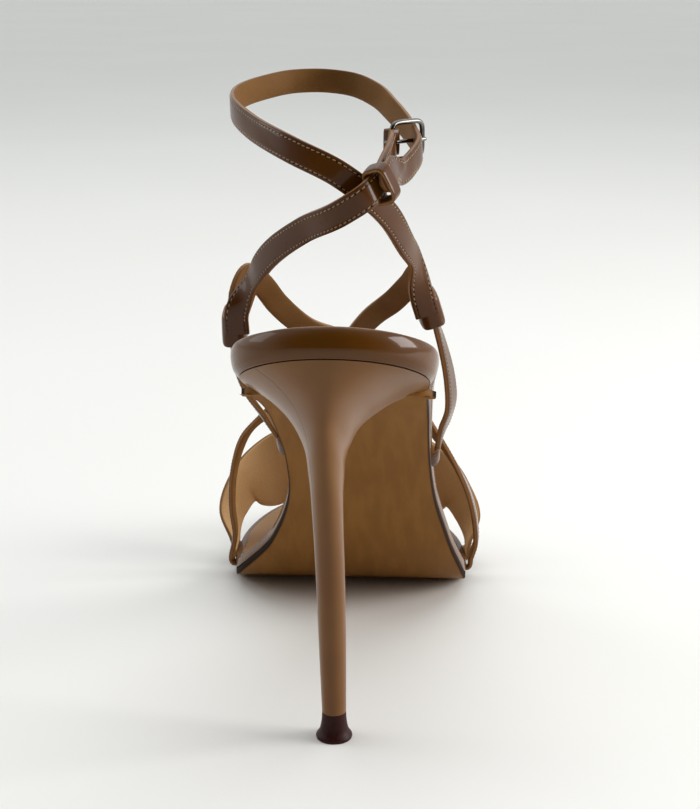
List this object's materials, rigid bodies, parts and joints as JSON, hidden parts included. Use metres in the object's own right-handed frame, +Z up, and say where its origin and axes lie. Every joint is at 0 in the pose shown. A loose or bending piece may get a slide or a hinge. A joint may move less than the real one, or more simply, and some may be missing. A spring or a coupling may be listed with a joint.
{
  "type": "strappy heeled sandal",
  "caption": "Open strappy sandal for the right foot: slim high heel, shaped sole, crossed patent straps over the instep, toe strap and a buckled ankle strap.",
  "frame": {"origin": "middle of the heel tip's floor face, with the shoe standing on the floor", "axes": "+Y from heel to toe, +X to the outer (little toe) side of the right shoe, +Z up"},
  "size_m": [0.0896, 0.1975, 0.1725],
  "materials": {
    "sole_leather": "satin tan leather, smooth",
    "heel_cover": "smooth nude leather, satin to semi-gloss",
    "top_piece": "dark reddish brown, satin",
    "footbed_skin": "pale tan insole, its wrapped edge glossy brown patent",
    "strap_patent": "glossy tan patent with fine edge stitching",
    "buckle_metal": "polished nickel"
  },
  "bodies": {
    "root": {"outsole": "sole_leather", "heel": "heel_cover", "heel_tip": "top_piece", "footbed": "footbed_skin", "upper": "strap_patent", "toe_strap": "strap_patent", "ankle_strap": "strap_patent", "buckle_strap": "strap_patent", "keeper": "strap_patent", "buckle_frame": "buckle_metal", "buckle_prong": "buckle_metal"}
  },
  "joints": []
}
